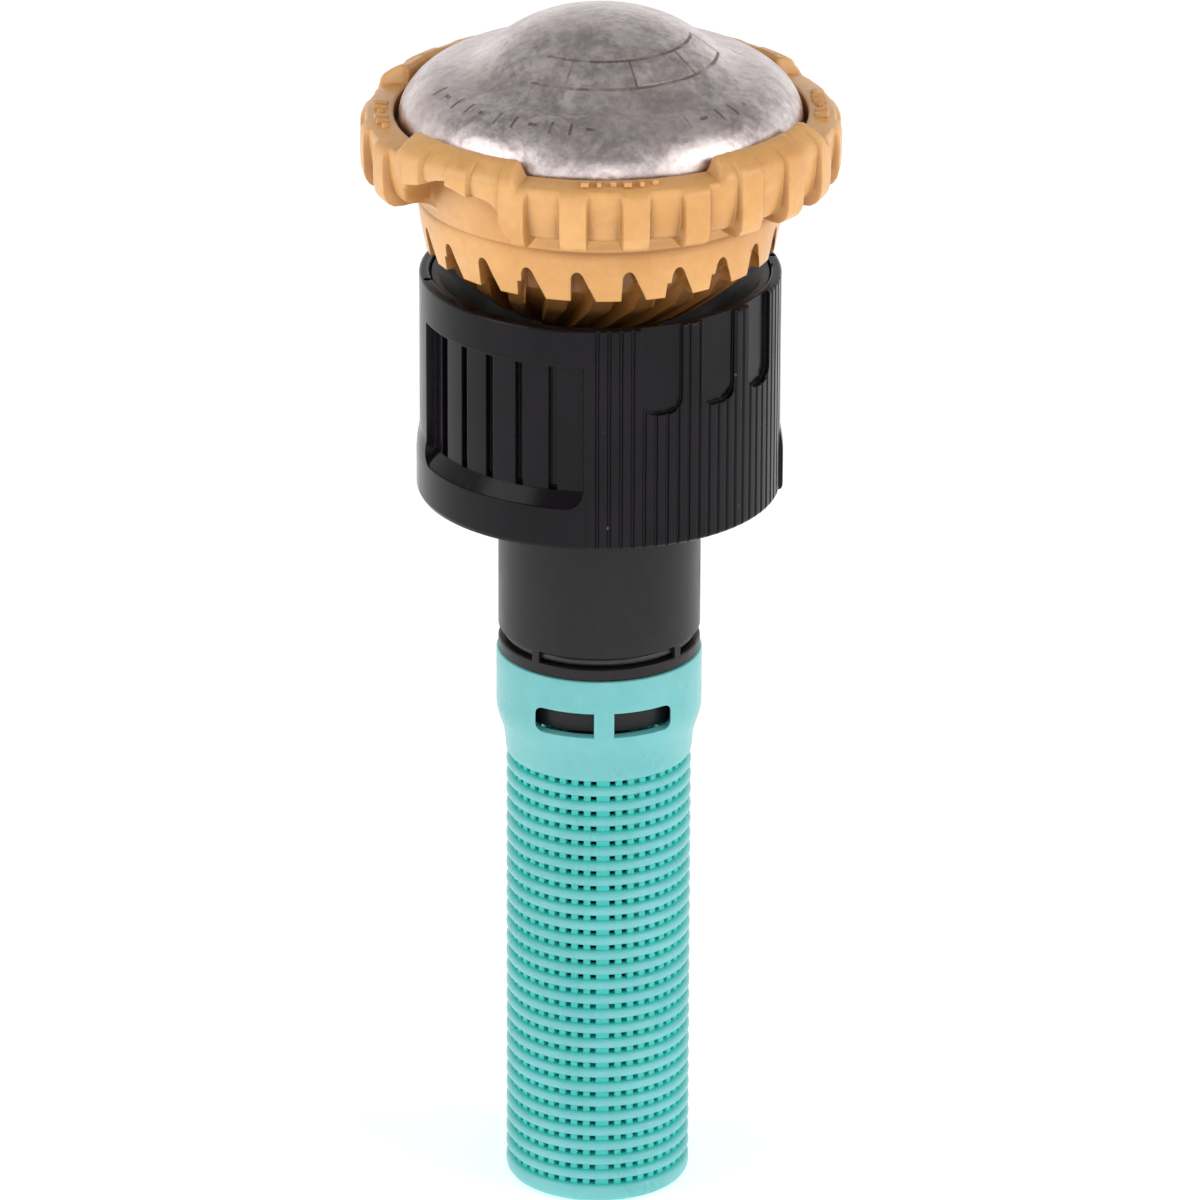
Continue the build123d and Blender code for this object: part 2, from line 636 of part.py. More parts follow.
with BuildPart() as top_cap:
    with BuildSketch(Plane.XZ):
        with BuildLine():
            outer = Spline(
                (0, CAP_APEX), (1.5, 34.75), (4.0, 34.35), (6.5, 33.2), (8.2, 31.95), (9.6, 31.1),
                (11.5, 30.55), (13.0, 29.55), (13.8, 28.35), (CAP_R, 27.3),
            )
            inner = Spline(
                (CAP_R - CAP_WALL, 27.3), (13.25, 28.2), (12.55, 29.18), (11.2, 30.03), (9.4, 30.56),
                (7.87, 31.5), (6.22, 32.72), (3.87, 33.81), (1.4, 34.2), (0, CAP_APEX - CAP_WALL),
            )
            Polyline(
                (CAP_R, 27.3), (CAP_R, CAP_SEAT), (CAP_R - CAP_WALL, CAP_SEAT), (CAP_R - CAP_WALL, 27.3),
            )
            Line(inner @ 1, outer @ 0)
        make_face()
    revolve(axis=Axis.Z)

top_cap.part.label = "top_cap"
export_step(top_cap.part, "parts/top_cap.step")

# ======== filter screen ========

with BuildPart() as filter_screen:
    with BuildSketch(Plane.XZ) as screen_profile:
        with BuildLine():
            screen_outline = [
                (0, SCREEN_BOTTOM), (6.0, SCREEN_BOTTOM), (6.35, SCREEN_BOTTOM + 0.15),
                (CREST_R, SCREEN_BOTTOM + 0.5),
            ]
            for k in range(GROOVES - 1, -1, -1):
                floor_z = FIRST_GROOVE - k * GROOVE_PITCH
                screen_outline += [
                    (CREST_R, floor_z - 0.34), (FLOOR_R, floor_z - 0.2),
                    (FLOOR_R, floor_z + 0.2), (CREST_R, floor_z + 0.34),
                ]
            screen_outline += [
                (6.6, -19.4), (6.68, -18.6), (6.95, -17.5), (7.17, -16.8), (RIM_R, -16.1),
                (RIM_R, SCREEN_TOP - 0.12), (RIM_R - 0.12, SCREEN_TOP), (SPIGOT_R + 0.1, SCREEN_TOP),
                (SPIGOT_R + 0.1, BEAD_Z + 0.6), (SPIGOT_R + 0.26, BEAD_Z + 0.1),
                (SPIGOT_R + 0.1, BEAD_Z - 0.6), (SPIGOT_R + 0.1, -16.9), (SCREEN_BORE_R, -18.2),
                (SCREEN_BORE_R, SCREEN_BOTTOM + 1.0), (0, SCREEN_BOTTOM + 1.0),
            ]
            Polyline(*screen_outline, close=True)
        make_face()
    revolve(axis=Axis.Z)
    # snap windows, two on each side of the seam
    for heading in (SEAM_HEADING, SEAM_HEADING + 180.0):
        for side in (-1, 1):
            with BuildSketch(facing(heading, 4.5)) as pane:
                with Locations((side * 2.72, -15.4)):
                    Rectangle(4.05, 1.85)
                fillet(near(pane, (side * 4.8, -16.4), (side * 4.8, -14.4)), radius=0.5)
            extrude(amount=4.0, mode=Mode.SUBTRACT)
    # slots cut from inside, which open as square holes in every groove
    hole_bottom = FIRST_GROOVE - (GROOVES - 1) * GROOVE_PITCH - 0.2
    hole_headings = [
        SEAM_HEADING + 180.0 * half + 6.3 + COLUMN_PITCH * column
        for half in range(2)
        for column in range(COLUMNS)
    ]
    with BuildSketch(*[facing(heading, SCREEN_BORE_R - 0.3) for heading in hole_headings]):
        with Locations((0, (hole_bottom + FIRST_GROOVE + 0.2) / 2)):
            Rectangle(HOLE_W, FIRST_GROOVE + 0.4 - hole_bottom)
    extrude(amount=0.3 + (FLOOR_R - SCREEN_BORE_R) + 0.1, mode=Mode.SUBTRACT)

filter_screen.part.label = "filter_screen"
export_step(filter_screen.part, "parts/filter_screen.step")
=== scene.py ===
import json
import math
import bpy
import bmesh
from mathutils import Matrix, Quaternion, Vector


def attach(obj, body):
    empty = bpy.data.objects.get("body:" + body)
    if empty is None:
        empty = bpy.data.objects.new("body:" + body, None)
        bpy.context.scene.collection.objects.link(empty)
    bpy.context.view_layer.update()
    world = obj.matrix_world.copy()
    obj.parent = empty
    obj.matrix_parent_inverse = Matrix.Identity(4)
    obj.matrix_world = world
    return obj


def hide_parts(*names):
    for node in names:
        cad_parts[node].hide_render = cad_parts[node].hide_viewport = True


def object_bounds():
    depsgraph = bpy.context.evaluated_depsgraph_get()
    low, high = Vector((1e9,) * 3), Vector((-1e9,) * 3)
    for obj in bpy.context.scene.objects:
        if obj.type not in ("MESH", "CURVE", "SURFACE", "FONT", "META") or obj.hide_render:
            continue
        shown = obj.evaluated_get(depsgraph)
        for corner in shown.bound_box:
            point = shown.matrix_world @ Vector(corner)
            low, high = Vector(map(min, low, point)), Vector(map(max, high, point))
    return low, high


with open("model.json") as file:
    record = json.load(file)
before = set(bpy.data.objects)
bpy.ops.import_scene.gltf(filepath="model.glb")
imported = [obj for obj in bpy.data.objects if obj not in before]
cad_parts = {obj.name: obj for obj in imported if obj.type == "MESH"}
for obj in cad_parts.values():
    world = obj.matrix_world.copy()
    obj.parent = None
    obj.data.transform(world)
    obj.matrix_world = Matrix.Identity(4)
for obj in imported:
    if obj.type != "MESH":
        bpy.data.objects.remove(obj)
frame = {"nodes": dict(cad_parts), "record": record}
CAD_LOW, CAD_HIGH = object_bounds()

MM = 0.001


# ---------------------------------------------------------------- node helpers

class Nodes:
    """A small writer for one material's node tree."""

    def __init__(self, name):
        self.mat = bpy.data.materials.new(name)
        self.mat.use_nodes = True
        self.tree = self.mat.node_tree
        self.tree.nodes.clear()
        self.out = self.tree.nodes.new("ShaderNodeOutputMaterial")
        self.bsdf = self.tree.nodes.new("ShaderNodeBsdfPrincipled")
        self.link(self.bsdf.outputs["BSDF"], self.out.inputs["Surface"])
        self.where = self.tree.nodes.new("ShaderNodeTexCoord").outputs["Object"]

    def link(self, a, b):
        self.tree.links.new(a, b)

    def put(self, socket, value):
        if isinstance(value, bpy.types.NodeSocket):
            self.link(value, socket)
        else:
            socket.default_value = value

    def math(self, operation, a, b=0.0):
        n = self.tree.nodes.new("ShaderNodeMath")
        n.operation = operation
        self.put(n.inputs[0], a)
        self.put(n.inputs[1], b)
        return n.outputs[0]

    def stretched(self, scale):
        n = self.tree.nodes.new("ShaderNodeMapping")
        n.inputs["Scale"].default_value = scale
        self.link(self.where, n.inputs["Vector"])
        return n.outputs["Vector"]

    def noise(self, scale, detail=4.0, rough=0.55, vector=None, distortion=0.0):
        n = self.tree.nodes.new("ShaderNodeTexNoise")
        n.inputs["Scale"].default_value = scale
        n.inputs["Detail"].default_value = detail
        n.inputs["Roughness"].default_value = rough
        n.inputs["Distortion"].default_value = distortion
        self.link(vector or self.where, n.inputs["Vector"])
        return n.outputs["Fac"]

    def cells(self, scale):
        n = self.tree.nodes.new("ShaderNodeTexVoronoi")
        n.inputs["Scale"].default_value = scale
        self.link(self.where, n.inputs["Vector"])
        return n.outputs["Distance"]

    def remap(self, value, low, high, new_low=0.0, new_high=1.0):
        n = self.tree.nodes.new("ShaderNodeMapRange")
        n.interpolation_type = "SMOOTHSTEP"
        self.put(n.inputs["Value"], value)
        n.inputs["From Min"].default_value = low
        n.inputs["From Max"].default_value = high
        n.inputs["To Min"].default_value = new_low
        n.inputs["To Max"].default_value = new_high
        return n.outputs["Result"]

    def mix(self, factor, a, b):
        n = self.tree.nodes.new("ShaderNodeMix")
        n.data_type = "RGBA"
        self.put(n.inputs["Factor"], factor)
        for socket, value in ((n.inputs[6], a), (n.inputs[7], b)):
            if isinstance(value, tuple):
                value = (*value, 1.0)
            self.put(socket, value)
        return n.outputs[2]

    def bump(self, height, strength, distance, normal=None):
        n = self.tree.nodes.new("ShaderNodeBump")
        n.inputs["Strength"].default_value = strength
        n.inputs["Distance"].default_value = distance
        self.put(n.inputs["Height"], height)
        if normal:
            self.link(normal, n.inputs["Normal"])
        return n.outputs["Normal"]

    def rounded(self, radius):
        n = self.tree.nodes.new("ShaderNodeBevel")
        n.samples = 6
        n.inputs["Radius"].default_value = radius
        return n.outputs["Normal"]

    def occlusion_shade(self, reach):
        """Ambient-occlusion mask for painted shade: 0 on open surfaces, rising toward 1 where walls closer
        than reach close it in.
        """
        n = self.tree.nodes.new("ShaderNodeAmbientOcclusion")
        n.samples = 12
        n.only_local = True
        n.inputs["Distance"].default_value = reach
        return self.math("SUBTRACT", 1.0, n.outputs["AO"])

    def between(self, value, low, high, soft):
        """1 from low to high, falling to 0 over a soft edge inside each end."""
        return self.math("MULTIPLY", self.remap(value, low, low + soft),
                         self.remap(value, high, high - soft))

    def axes(self):
        n = self.tree.nodes.new("ShaderNodeSeparateXYZ")
        self.link(self.where, n.inputs[0])
        return n.outputs[0], n.outputs[1], n.outputs[2]

    def around(self, x, y):
        """Distance from the object's axis."""
        return self.math("SQRT", self.math("ADD", self.math("MULTIPLY", x, x), self.math("MULTIPLY", y, y)))

    def from_beat(self, value, rate):
        """Distance from the middle of the beat that a value falls in, at a rate of beats."""
        place = self.math("FRACT", self.math("MULTIPLY", value, rate))
        return self.math("ABSOLUTE", self.math("SUBTRACT", place, 0.5))


# ---------------------------------------------------------------- materials

SUBSURFACE_SCALE = 0.0009
GRAIN_DEPTH = 0.00002
PAINTED_SHADE_REACH = 0.0050      # how far away a wall still deepens the painted shade in a corner


def plastic(name, dark, light, rough, spots=None, sub=0.0, sub_radius=(1, 1, 1), edge=0.00012,
            specular=0.5, grain=0.10, streak=0.0, painted_shade=None, painted_shade_r=None, painted_shade_z=None, corners=None):
    """Moulded plastic: slow tone changes, fine grain, faint rubs, and optional dust.

    deep is a painted shade colour, taken inside painted_shade_r, and below painted_shade_z where one is
    given.
    corners is a painted shade colour, laid into its recesses through an ambient-occlusion mask.
    """
    m = Nodes(name)
    slow = m.noise(140, 3.0)
    fine = m.noise(1500, 5.0)
    tone = m.math("ADD", m.math("MULTIPLY", slow, 0.75), m.math("MULTIPLY", fine, 0.25))
    color = m.mix(m.remap(tone, 0.35, 0.65), dark, light)
    rubs = m.noise(1.0, 3.0, vector=m.stretched((900, 900, 120)))
    # painted shade: a darker colour laid inside a band of radius, and below a height where one is given
    if painted_shade:
        x, y, z = m.axes()
        inside = m.remap(m.around(x, y), painted_shade_r[1], painted_shade_r[0])
        if painted_shade_z:
            inside = m.math("MULTIPLY", inside, m.remap(z, painted_shade_z[1], painted_shade_z[0]))
        color = m.mix(inside, color, painted_shade)
    # painted shade: recesses darkened toward the corner colour through an ambient-occlusion mask
    if corners:
        color = m.mix(m.remap(m.occlusion_shade(PAINTED_SHADE_REACH), 0.05, 0.36, 0.0, 0.90), color, corners)
    roughness = m.math("ADD", m.remap(slow, 0.3, 0.7, rough - 0.05, rough + 0.05),
                       m.remap(rubs, 0.55, 0.8, 0.0, 0.12))
    if spots:
        dust = m.cells(420)
        mask = m.math("MULTIPLY", m.remap(dust, 0.07, 0.02, 0.0, 1.0),
                      m.remap(m.noise(260, 2.0), 0.55, 0.68))
        color = m.mix(m.math("MULTIPLY", mask, 0.55), color, spots)
        roughness = m.math("ADD", roughness, m.math("MULTIPLY", mask, 0.3))
    m.put(m.bsdf.inputs["Base Color"], color)
    m.put(m.bsdf.inputs["Roughness"], roughness)
    m.bsdf.inputs["Specular IOR Level"].default_value = specular
    if sub:
        m.bsdf.subsurface_method = "RANDOM_WALK"
        m.bsdf.inputs["Subsurface Weight"].default_value = sub
        m.bsdf.inputs["Subsurface Radius"].default_value = sub_radius
        m.bsdf.inputs["Subsurface Scale"].default_value = SUBSURFACE_SCALE
    height = m.math("ADD", fine, m.math("MULTIPLY", rubs, streak))
    m.put(m.bsdf.inputs["Normal"], m.bump(height, grain, GRAIN_DEPTH, m.rounded(edge)))
    return m.mat


# the cap's etched marks: radii in metres, and headings in radians
TICK_RATE = 8.5            # ticks to the radian
TICK_R = (0.01105, 0.01223)
DASH_R = (0.01145, 0.01182)
TICK_GROUPS = ((-1.35, 0.02), (0.52, 1.02))
RUNG_RATE = 1.6
SCALE_R = (0.00600, 0.00818)
RAIL_WIDTH = 0.00028
SCALE_SWEEP = (-0.64, 1.58)
OUTSIDE_Z = (0.0290, 0.0295)   # the marks stay above this


def dome_steel():
    """Tumbled stainless sheet: mottled grey with a warm cast, soft dents, and etched marks."""
    m = Nodes("dome_steel")
    x, y, z = m.axes()
    blotch = m.noise(330, 8.0, 0.66, distortion=0.8)
    fine = m.noise(1700, 6.0, 0.7)
    pits = m.cells(1500)
    tone = m.math("ADD", m.math("MULTIPLY", blotch, 0.55), m.math("MULTIPLY", fine, 0.45))
    color = m.mix(m.remap(tone, 0.38, 0.62), (0.50, 0.425, 0.430), (0.88, 0.795, 0.78))
    warm = m.remap(m.noise(110, 3.0), 0.45, 0.70)
    color = m.mix(m.math("MULTIPLY", warm, 0.45), color, (0.56, 0.47, 0.445))
    bright = m.math("MULTIPLY", m.remap(pits, 0.10, 0.03), m.remap(m.noise(500, 3.0), 0.52, 0.66))
    color = m.mix(m.math("MULTIPLY", bright, 0.5), color, (0.85, 0.83, 0.82))
    radius = m.around(x, y)
    angle = m.math("ARCTAN2", x, m.math("MULTIPLY", y, -1.0))
    # etched marks round the shoulder: two upright ticks and a dash, over and over, in two groups
    beat = m.from_beat(angle, TICK_RATE)
    third = m.remap(m.math("FRACT", m.math("MULTIPLY", angle, TICK_RATE / 3)), 0.660, 0.668)
    dashes = m.math("MULTIPLY", m.between(radius, *DASH_R, 0.00007), m.remap(beat, 0.26, 0.22))
    ticks = m.math("MULTIPLY", m.remap(beat, 0.10, 0.06), m.between(radius, *TICK_R, 0.00008))
    upright = m.math("MULTIPLY", ticks, m.math("SUBTRACT", 1.0, third))
    glyphs = m.math("MAXIMUM", upright, m.math("MULTIPLY", dashes, third))
    left, right = [m.between(angle, *group, 0.02) for group in TICK_GROUPS]
    marks = m.math("MULTIPLY", glyphs, m.math("MAXIMUM", left, right))
    # an arc-shaped scale on the bump's foot: two rails and the rungs between them
    low_r, high_r = SCALE_R
    rail_a = m.between(radius, low_r, low_r + RAIL_WIDTH, 0.00008)
    rail_b = m.between(radius, high_r - RAIL_WIDTH, high_r, 0.00008)
    rungs = m.math("MULTIPLY", m.remap(m.from_beat(angle, RUNG_RATE), 0.026, 0.014),
                   m.between(radius, low_r, high_r, 0.00008))
    scale = m.math("MAXIMUM", m.math("MAXIMUM", rail_a, rail_b), rungs)
    sweep = m.between(angle, *SCALE_SWEEP, 0.02)
    etched = m.math("MULTIPLY", m.math("MAXIMUM", marks, m.math("MULTIPLY", scale, sweep)),
                    m.remap(z, *OUTSIDE_Z))
    etched = m.math("MULTIPLY", etched, m.remap(m.noise(700, 4.0), 0.36, 0.56, 0.25, 1.0))
    color = m.mix(m.math("MULTIPLY", etched, 0.78), color, (0.17, 0.125, 0.075))
    m.put(m.bsdf.inputs["Base Color"], color)
    m.bsdf.inputs["Metallic"].default_value = 1.0
    rough = m.math("ADD", m.remap(tone, 0.35, 0.7, 0.28, 0.42), m.math("MULTIPLY", etched, 0.2))
    m.put(m.bsdf.inputs["Roughness"], rough)
    dents = m.noise(190, 3.0, 0.5)
    first = m.bump(dents, 0.30, 0.00030)
    second = m.bump(m.math("ADD", fine, m.math("MULTIPLY", pits, 0.5)), 0.35, 0.00007, first)
    m.put(m.bsdf.inputs["Normal"], m.bump(m.math("MULTIPLY", etched, -1.0), 0.4, 0.00003, second))
    return m.mat


def plain_steel(name, low, high, rough):
    m = Nodes(name)
    brushed = m.noise(1.0, 4.0, vector=m.stretched((300, 300, 4000)))
    m.put(m.bsdf.inputs["Base Color"], m.mix(brushed, low, high))
    m.bsdf.inputs["Metallic"].default_value = 1.0
    m.put(m.bsdf.inputs["Roughness"], m.remap(brushed, 0.3, 0.7, rough - 0.06, rough + 0.08))
    m.put(m.bsdf.inputs["Normal"], m.bump(brushed, 0.15, GRAIN_DEPTH))
    return m.mat


def rubber():
    m = Nodes("seal_rubber")
    grain = m.noise(1800, 4.0)
    m.put(m.bsdf.inputs["Base Color"], m.mix(grain, (0.012, 0.012, 0.013), (0.03, 0.03, 0.031)))
    m.put(m.bsdf.inputs["Roughness"], m.remap(grain, 0.3, 0.7, 0.28, 0.42))
    m.put(m.bsdf.inputs["Normal"], m.bump(grain, 0.15, GRAIN_DEPTH))
    return m.mat


TAN_TONES = (0.70, 0.350, 0.108), (0.82, 0.455, 0.170)
# the tan's deep colour is painted shade in the outlet channels under the skirt, and its corner colour is
# painted shade in its recesses
TAN = plastic("tan_plastic", *TAN_TONES, 0.31, sub=0.12, sub_radius=(1.0, 0.55, 0.25), edge=0.00015,
              grain=0.08, painted_shade=(0.17, 0.075, 0.022), painted_shade_r=(0.0110, 0.0121), painted_shade_z=(0.0196, 0.0206),
              corners=(0.36, 0.150, 0.034))
TAN_MARKS = plastic("tan_marks", *TAN_TONES, 0.31, edge=0.00006, grain=0.05)
GLOSS_BLACK = plastic("collar_plastic", (0.0035, 0.0024, 0.0038), (0.0070, 0.0052, 0.0072), 0.21,
                      spots=(0.30, 0.29, 0.29), edge=0.00012, grain=0.12, streak=0.3, specular=0.19)
SATIN_BLACK = plastic("black_plastic", (0.0070, 0.0055, 0.0068), (0.0120, 0.0095, 0.0115), 0.36,
                      spots=(0.26, 0.25, 0.25), edge=0.00010, grain=0.10, specular=0.32)
# the teal's deep colour is painted shade on the groove floors between the ribs
TEAL = plastic("teal_plastic", (0.155, 0.500, 0.505), (0.200, 0.550, 0.560), 0.30, sub=0.50,
               sub_radius=(0.35, 1.0, 0.9), edge=0.00006, grain=0.06,
               painted_shade=(0.055, 0.600, 0.550), painted_shade_r=(0.00618, 0.00650))
WHITE = plastic("white_plastic", (0.66, 0.65, 0.60), (0.76, 0.75, 0.71), 0.42, edge=0.00008)
STEEL = dome_steel()
WIRE = plain_steel("spring_steel", (0.42, 0.42, 0.43), (0.62, 0.62, 0.62), 0.28)
RUBBER = rubber()

FINISH = {
    "cap_steel": STEEL,
    "tan_plastic": TAN,
    "collar_plastic": GLOSS_BLACK,
    "black_plastic": SATIN_BLACK,
    "teal_plastic": TEAL,
    "white_plastic": WHITE,
    "spring_steel": WIRE,
    "seal_rubber": RUBBER,
}

SLOTS = {s["node"]: s["material_slot"] for s in frame["record"]["subparts"]}
for node_name, node in frame["nodes"].items():
    node.data.materials.clear()
    node.data.materials.append(FINISH[SLOTS[node_name]])


# ---------------------------------------------------------------- mesh helpers

def heading_xy(r, heading):
    """Plan position at a heading: 0 toward -Y, positive toward +X."""
    a = math.radians(heading - 90.0)
    return r * math.cos(a), r * math.sin(a)


def table(points, x):
    """Straight-line lookup in a short list of (x, value)."""
    if x <= points[0][0]:
        return points[0][1]
    for (xa, ya), (xb, yb) in zip(points, points[1:]):
        if x <= xb:
            return ya + (yb - ya) * (x - xa) / (xb - xa)
    return points[-1][1]


def smooth(x, low, high):
    """Eases from 0 at low to 1 at high."""
    t = min(1.0, max(0.0, (x - low) / (high - low)))
    return t * t * (3.0 - 2.0 * t)


def wrapped(degrees):
    """The same angle between -180 and 180."""
    return (degrees + 180.0) % 360.0 - 180.0


def mesh_object(name, verts_mm, faces, material, body, sharp):
    """A smooth-shaded piece on a body, with edges over sharp degrees kept sharp."""
    data = bpy.data.meshes.new(name)
    data.from_pydata([(x * MM, y * MM, z * MM) for x, y, z in verts_mm], [], faces)
    bm = bmesh.new()
    bm.from_mesh(data)
    bmesh.ops.recalc_face_normals(bm, faces=bm.faces)
    bm.to_mesh(data)
    bm.free()
    data.polygons.foreach_set("use_smooth", [True] * len(data.polygons))
    data.set_sharp_from_angle(angle=math.radians(sharp))
    data.materials.append(material)
    obj = bpy.data.objects.new(name, data)
    bpy.context.scene.collection.objects.link(obj)
    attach(obj, body)
    return obj


# ---------------------------------------------------------------- filter screen

# lengths in millimetres and angles in degrees, here and for the deflector
SCREEN_BORE = 5.75
SCREEN_FLOOR = 6.16
SCREEN_CREST = 6.55
FIRST_GROOVE = -20.25
GROOVES = 28
GROOVE_PITCH = 1.146
HOLE_HALF_Z = 0.2
HOLE_HALF_ARC = 1.95
HOLE_COLUMNS = 21
HOLE_PITCH = 8.37
FIRST_HOLE = 6.3           # heading from the seam to the first column of holes
SEAM = 3.0
SEAM_HALF_ARC = 2.2
RIM_R = 7.25
RIM_BORE = 6.45
RIM_CURVE_Z = -15.9        # the rim starts to draw in below this
WINDOW_X = (0.695, 4.745)  # across, from the seam's middle
WINDOW_Z = (-16.325, -14.475)
WINDOW_CORNER = 0.5
WINDOW_EASE = 30.0         # degrees beyond a window over which the columns turn radial again
CLOSE = 0.02               # columns nearer than this, in degrees, are one
NEAR = 0.01
TOUCH = 1e-4


def window_heading(x):
    """Heading from the seam of a point on the rim that lies x to one side."""
    return math.degrees(math.asin(x / RIM_R))


def window_corner(offset, z):
    """Moves a point of a window's square outline onto its rounded outer corners."""
    x = RIM_R * math.sin(math.radians(abs(offset)))
    for edge, inward in ((WINDOW_Z[1], -1.0), (WINDOW_Z[0], 1.0)):
        dx = WINDOW_X[1] - x
        dz = (z - edge) * inward
        on_top = abs(dz) < TOUCH and -TOUCH < dx < WINDOW_CORNER + TOUCH
        on_side = abs(dx) < TOUCH and -TOUCH < dz < WINDOW_CORNER + TOUCH
        if on_top or on_side:
            along = (WINDOW_CORNER - dx) + dz
            turn = math.radians(90.0) * along / (2.0 * WINDOW_CORNER)
            x = WINDOW_X[1] - WINDOW_CORNER * (1.0 - math.sin(turn))
            z = edge + inward * WINDOW_CORNER * (1.0 - math.cos(turn))
            return math.copysign(window_heading(x), offset), z
    return offset, z


def parallel(offset, r):
    """Keeps a window's ends parallel through the wall, easing back to radial beyond them."""
    reach = window_heading(WINDOW_X[1])
    x = RIM_R * math.sin(math.radians(min(abs(offset), reach)))
    shift = math.degrees(math.asin(x / r)) - min(abs(offset), reach)
    ease = 1.0 - smooth(abs(offset), reach, reach + WINDOW_EASE)
    return offset + math.copysign(shift * ease, offset)


def screen_rows():
    """Rows from top to bottom: outside radius and height, inside radius and height."""
    rows = [
        (6.62, -12.10, 6.55, -12.10), (7.08, -12.10, RIM_BORE, -12.16), (7.20, -12.13, RIM_BORE, -12.4),
        (RIM_R, -12.24, RIM_BORE, -12.8), (RIM_R, -13.3, 6.61, -13.3), (RIM_R, -14.0, RIM_BORE, -14.0),
    ]
    low, high = WINDOW_Z
    half = WINDOW_CORNER / 2.0
    for z in (high, high - half, high - 2 * half, (low + high) / 2, low + 2 * half, low + half, low):
        rows.append((RIM_R - 0.012 * max(0.0, RIM_CURVE_Z - z) ** 2, z, RIM_BORE, z))
    bend = ((7.215, -16.6, -16.75), (7.13, -17.0, -17.0), (7.00, -17.4, -17.3), (6.86, -17.8, -17.7),
            (6.75, -18.2, -18.1), (6.67, -18.7, -18.6), (6.62, -19.2, -19.1), (6.59, -19.6, -19.6),
            (6.55, -19.82, -19.9), (6.45, -19.96, -19.96))
    for r, z, inside_z in bend:
        inside = table([(-18.2, SCREEN_BORE), (-16.9, RIM_BORE)], inside_z)
        rows.append((r, z, inside, inside_z))
    grooves = []
    for k in range(GROOVES):
        z = FIRST_GROOVE - k * GROOVE_PITCH
        grooves.append(len(rows))
        rows.append((SCREEN_FLOOR, z + HOLE_HALF_Z, SCREEN_BORE, z + HOLE_HALF_Z))
        rows.append((SCREEN_FLOOR, z - HOLE_HALF_Z, SCREEN_BORE, z - HOLE_HALF_Z))
        if k < GROOVES - 1:
            rib = GROOVE_PITCH - 2 * HOLE_HALF_Z
            for t in (0.05, 0.14, 0.30, 0.5, 0.70, 0.86, 0.95):
                swell = (1.0 - abs(2.0 * t - 1.0) ** 2.6) ** 0.6
                at = z - HOLE_HALF_Z - rib * t
                rows.append((SCREEN_FLOOR + (SCREEN_CREST - SCREEN_FLOOR) * swell, at, SCREEN_BORE, at))
    rows += [
        (6.40, -51.45, SCREEN_BORE, -51.42), (6.52, -51.56, SCREEN_BORE, -51.5),
        (6.55, -51.75, SCREEN_BORE, -51.6), (6.55, -52.1, SCREEN_BORE - 0.05, -51.69),
        (6.50, -52.38, 5.6, -51.73), (6.38, -52.58, 5.3, -51.73), (6.18, -52.70, 5.0, -51.73),
        (5.9, -52.73, 4.0, -51.73),
    ]
    return rows, grooves


